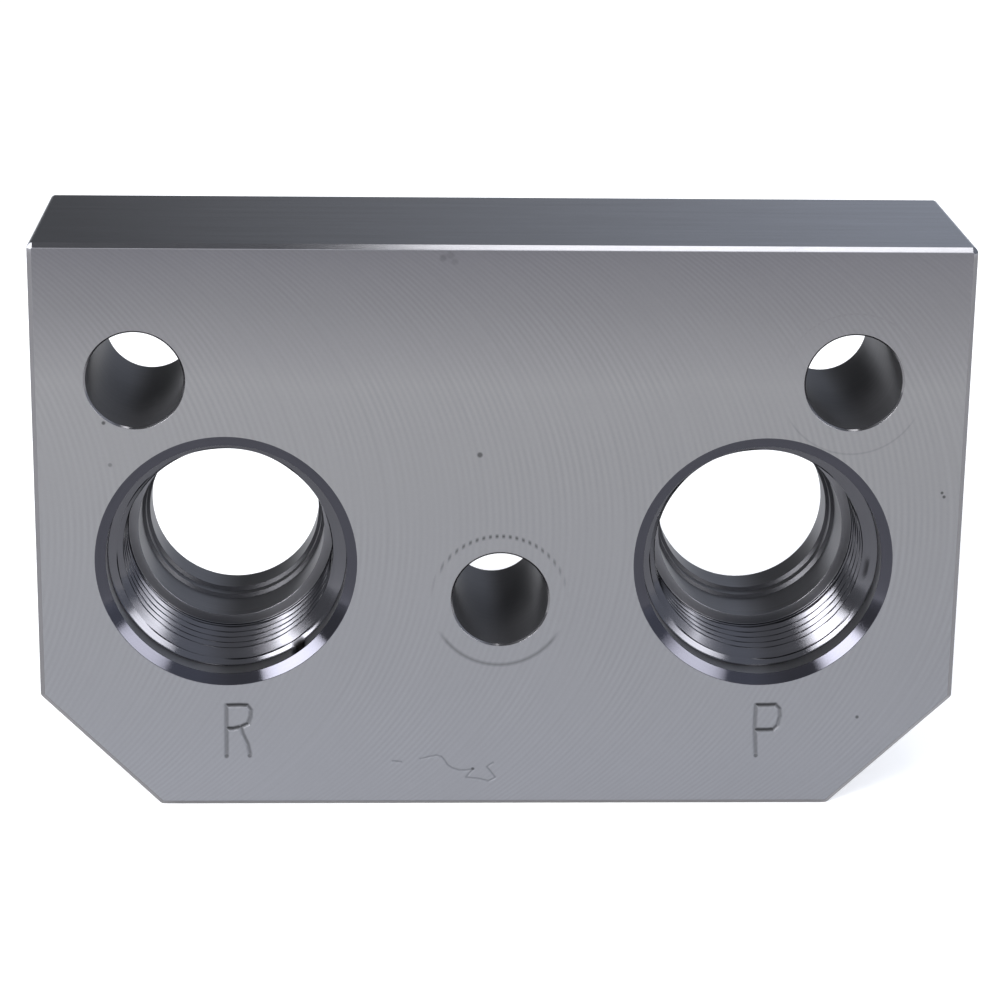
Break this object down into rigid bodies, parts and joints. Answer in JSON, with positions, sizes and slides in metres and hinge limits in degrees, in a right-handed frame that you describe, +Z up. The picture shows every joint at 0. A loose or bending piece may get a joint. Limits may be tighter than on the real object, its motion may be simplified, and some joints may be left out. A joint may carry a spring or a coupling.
{
  "type": "hydraulic port block",
  "caption": "Flat machined steel block with stepped, threaded ports side by side, clearance holes for its mounting bolts and cut lower corners.",
  "frame": {"origin": "middle of the block's foot: midway along its length and midway through its thickness, at the level that it stands on", "axes": "+X along the length, to the right of someone who looks at the worked face; -Y out of the worked face with the port mouths; +Y out of the seating face; +Z up"},
  "size_m": [0.106, 0.027, 0.067],
  "materials": {
    "machined_steel": "bare steel: face-milled on the worked face, ground on the sides, turned in the ports"
  },
  "bodies": {
    "root": {"port_block": "machined_steel"}
  },
  "joints": []
}
